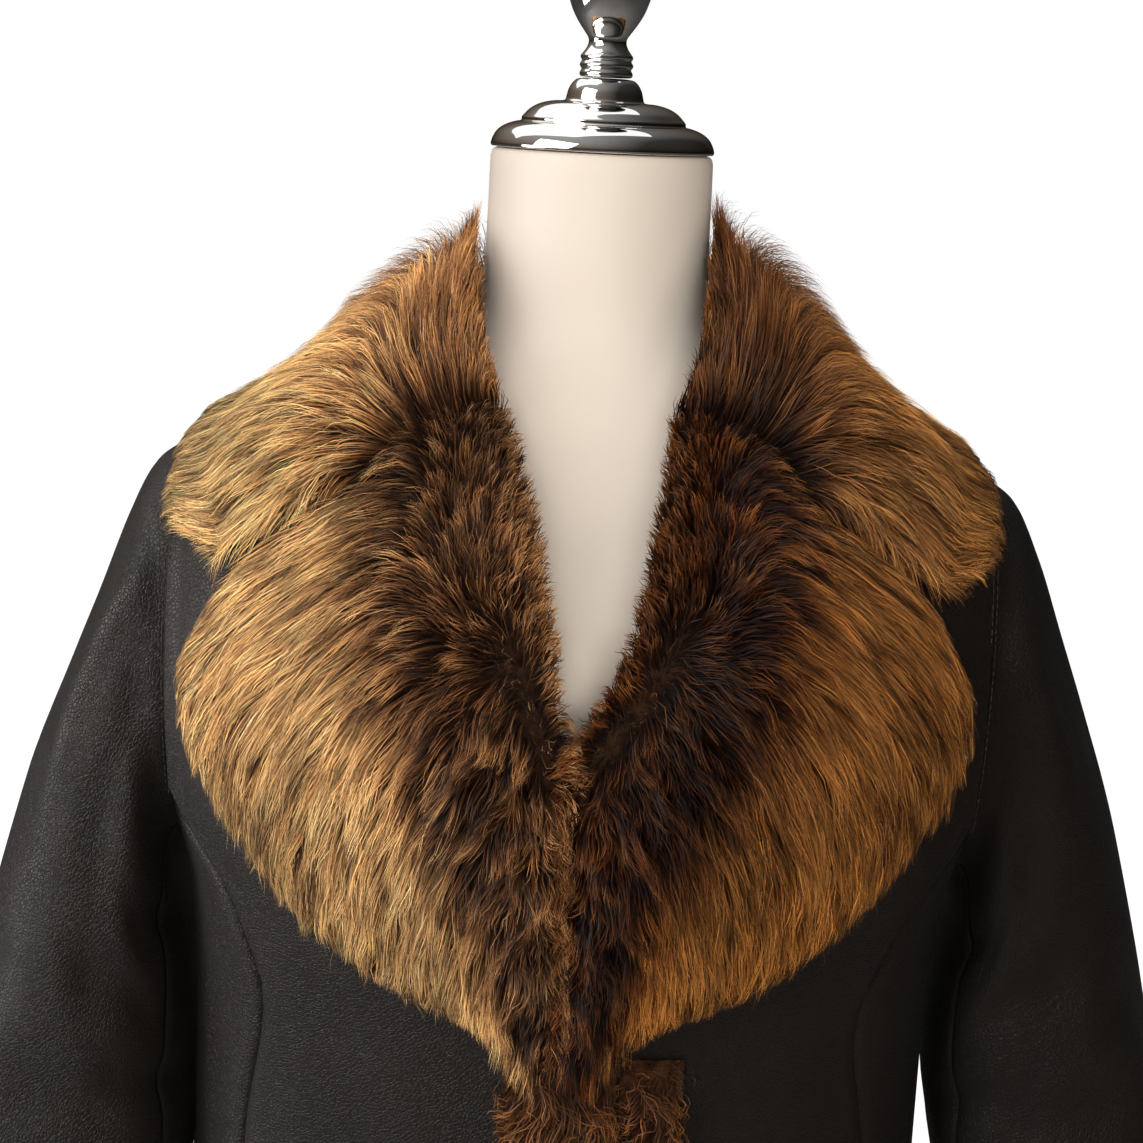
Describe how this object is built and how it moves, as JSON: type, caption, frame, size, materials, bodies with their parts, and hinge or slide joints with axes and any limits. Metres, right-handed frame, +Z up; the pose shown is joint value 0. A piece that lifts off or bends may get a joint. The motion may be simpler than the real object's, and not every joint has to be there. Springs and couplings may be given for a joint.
{
  "type": "shearling coat on a limbless dress form",
  "caption": "Long-sleeved leather coat with a wide notched collar, lapels and front edges of long fur, open at the neck, on a limbless dress form with a pole and a round base.",
  "frame": {"origin": "centre of the underside of the stand's round base, on the floor", "axes": "+Z up along the pole, -Y the way the coat faces, +X towards the wearer's left"},
  "size_m": [0.702, 0.4109, 1.6618],
  "materials": {
    "coat_leather": "very dark brown leather with a fine grain and a soft sheen",
    "long_fur": "long tan wool with dark brown roots",
    "form_cover": "smooth off-white cover",
    "chrome": "polished chrome",
    "stand_metal": "satin steel"
  },
  "bodies": {
    "root": {"back_left": "coat_leather", "back_right": "coat_leather", "collar": "long_fur", "finial": "chrome", "form_torso": "form_cover", "front_left": "coat_leather", "front_right": "coat_leather", "lapel_left": "long_fur", "lapel_right": "long_fur", "neck_cap": "chrome", "side_left": "coat_leather", "side_right": "coat_leather", "stand_base": "stand_metal", "stand_pole": "stand_metal", "top_sleeve_left": "coat_leather", "top_sleeve_right": "coat_leather", "trim_left": "long_fur", "trim_right": "long_fur", "under_sleeve_left": "coat_leather", "under_sleeve_right": "coat_leather"}
  },
  "joints": []
}
